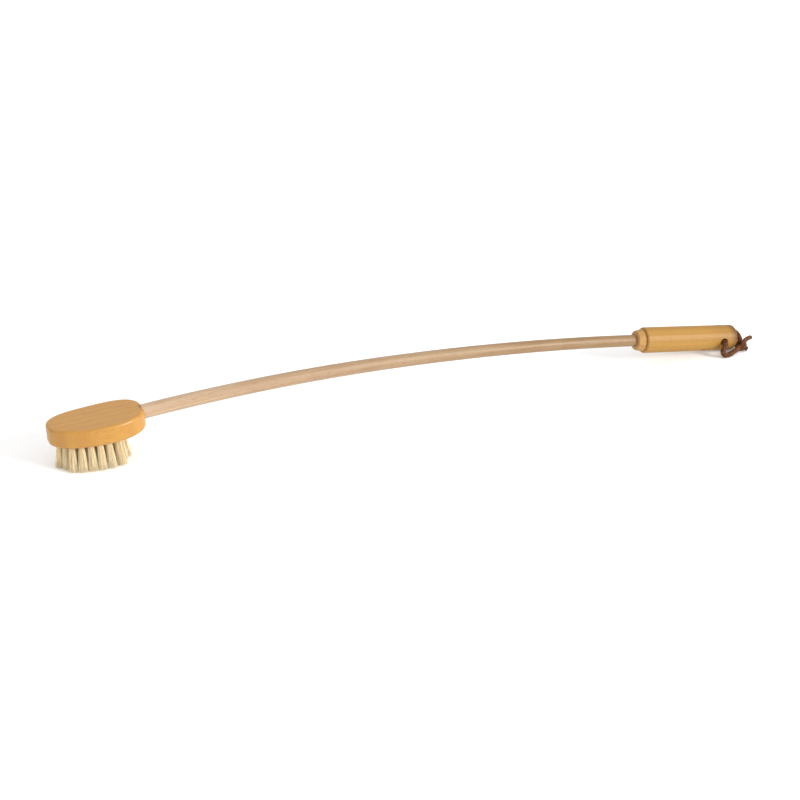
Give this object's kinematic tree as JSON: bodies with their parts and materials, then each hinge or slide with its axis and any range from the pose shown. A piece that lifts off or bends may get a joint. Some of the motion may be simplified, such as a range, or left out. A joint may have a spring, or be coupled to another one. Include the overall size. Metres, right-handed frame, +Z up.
{
  "type": "long-handled body dry brush",
  "caption": "Body dry brush with an oval wooden head and bristle tufts, a long bent cane handle, a bamboo grip and a knotted leather hanging loop.",
  "frame": {"origin": "middle of the brush's outline on the table that it lies on, without the loop", "axes": "+X from the head towards the grip, +Z up from the table, bristles down"},
  "size_m": [0.706, 0.0515, 0.0536],
  "materials": {
    "head_wood": "satin lacquered honey-coloured wood",
    "bristle": "pale natural bristle",
    "anchor_wire": "bright drawn wire",
    "dowel_wood": "bare end grain",
    "cane": "smooth peeled cane",
    "collar_wood": "satin turned wood",
    "grip_bamboo": "satin bamboo",
    "plug_wood": "satin turned wood",
    "strap_leather": "dark brown leather thong"
  },
  "bodies": {
    "brush": {"head_block": "head_wood", "tufts_row_1": "bristle", "tufts_row_2": "bristle", "tufts_row_3": "bristle", "tufts_row_4": "bristle", "tufts_row_5": "bristle", "tuft_anchors_row_1": "anchor_wire", "tuft_anchors_row_2": "anchor_wire", "tuft_anchors_row_3": "anchor_wire", "tuft_anchors_row_4": "anchor_wire", "tuft_anchors_row_5": "anchor_wire", "head_dowel": "dowel_wood", "handle_rod": "cane", "grip_collar": "collar_wood", "grip_sleeve": "grip_bamboo", "grip_dowel": "dowel_wood", "end_plug": "plug_wood"},
    "strap": {"strap_front": "strap_leather", "strap_back": "strap_leather", "strap_knot": "strap_leather"}
  },
  "joints": [
    {"name": "strap_swing", "type": "hinge", "parent": "brush", "child": "strap", "pos_m": [0.3233, 0, 0.01362], "axis": [0, -1, 0], "range_deg": [0, 110]}
  ]
}
